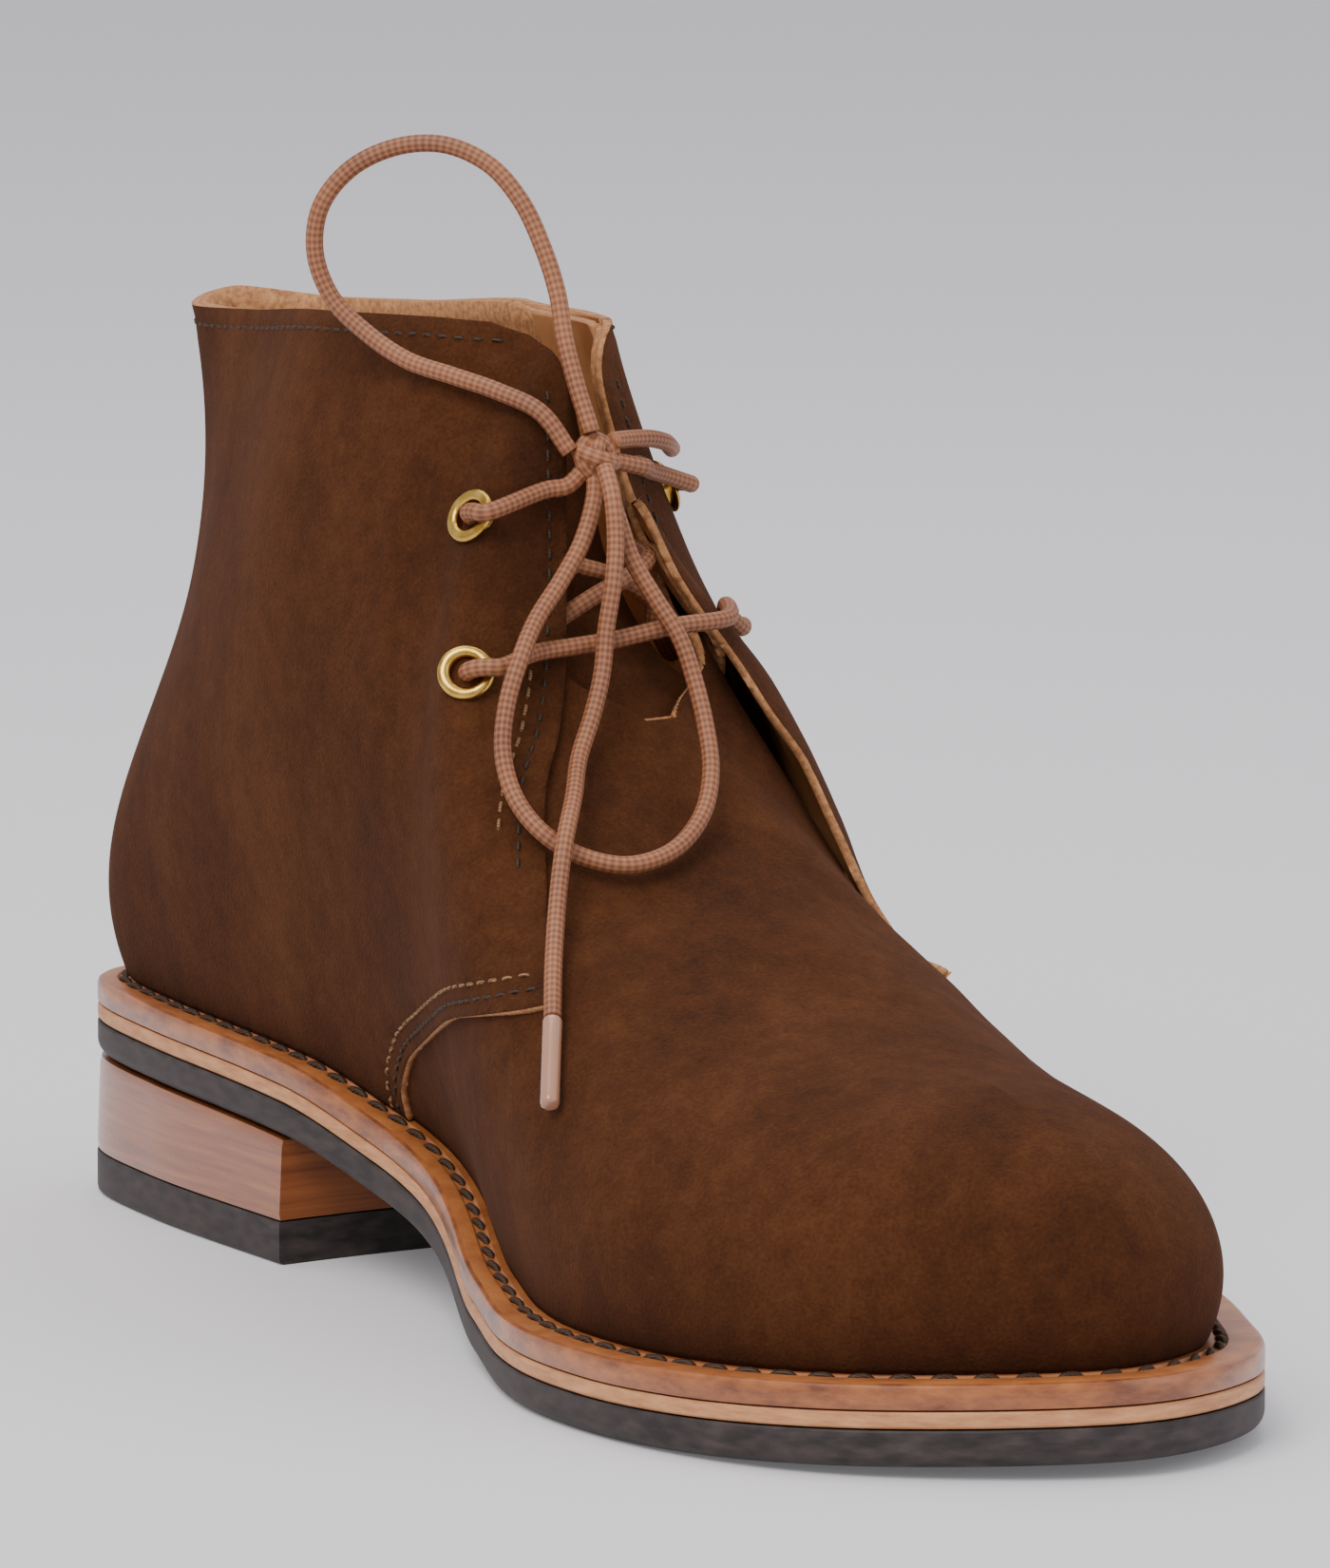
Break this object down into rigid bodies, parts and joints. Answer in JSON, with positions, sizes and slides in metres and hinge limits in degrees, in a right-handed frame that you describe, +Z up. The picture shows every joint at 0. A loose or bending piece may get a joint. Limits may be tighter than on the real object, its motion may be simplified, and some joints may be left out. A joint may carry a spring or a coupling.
{
  "type": "chukka boot",
  "caption": "Left suede ankle boot with open lacing, a welted leather and rubber sole and a stacked leather heel. It stands empty, open at the collar.",
  "frame": {"origin": "the middle of the heel's ground face, on the floor", "axes": "+Z up, -Y from the heel to the toe, +X to the lateral side"},
  "size_m": [0.1149, 0.3022, 0.1855],
  "materials": {
    "rubber": "matt dark grey rubber",
    "stack_leather": "polished stacked leather with fine layers",
    "pale_leather": "pale tan leather edge",
    "welt_leather": "waxed orange-tan leather, darker at its edge",
    "lining_leather": "smooth tan lining leather",
    "suede": "brown suede with a short nap",
    "lace": "waxed round braid",
    "clear_tip": "clear plastic film over the lace",
    "brass": "polished brass plating"
  },
  "bodies": {
    "root": {"heel_lift": "rubber", "heel_stack": "stack_leather", "outsole": "rubber", "midsole": "pale_leather", "welt": "welt_leather", "insole": "lining_leather", "upper": "suede", "tongue": "suede", "lacing": "lace", "lace_knot": "lace", "lace_loop_upper": "lace", "lace_loop_lower": "lace", "lace_end_medial": "lace", "lace_end_lateral": "lace", "aglet_medial": "clear_tip", "eyelet_medial_upper": "brass", "eyelet_medial_lower": "brass", "eyelet_lateral_upper": "brass", "eyelet_lateral_lower": "brass"}
  },
  "joints": []
}
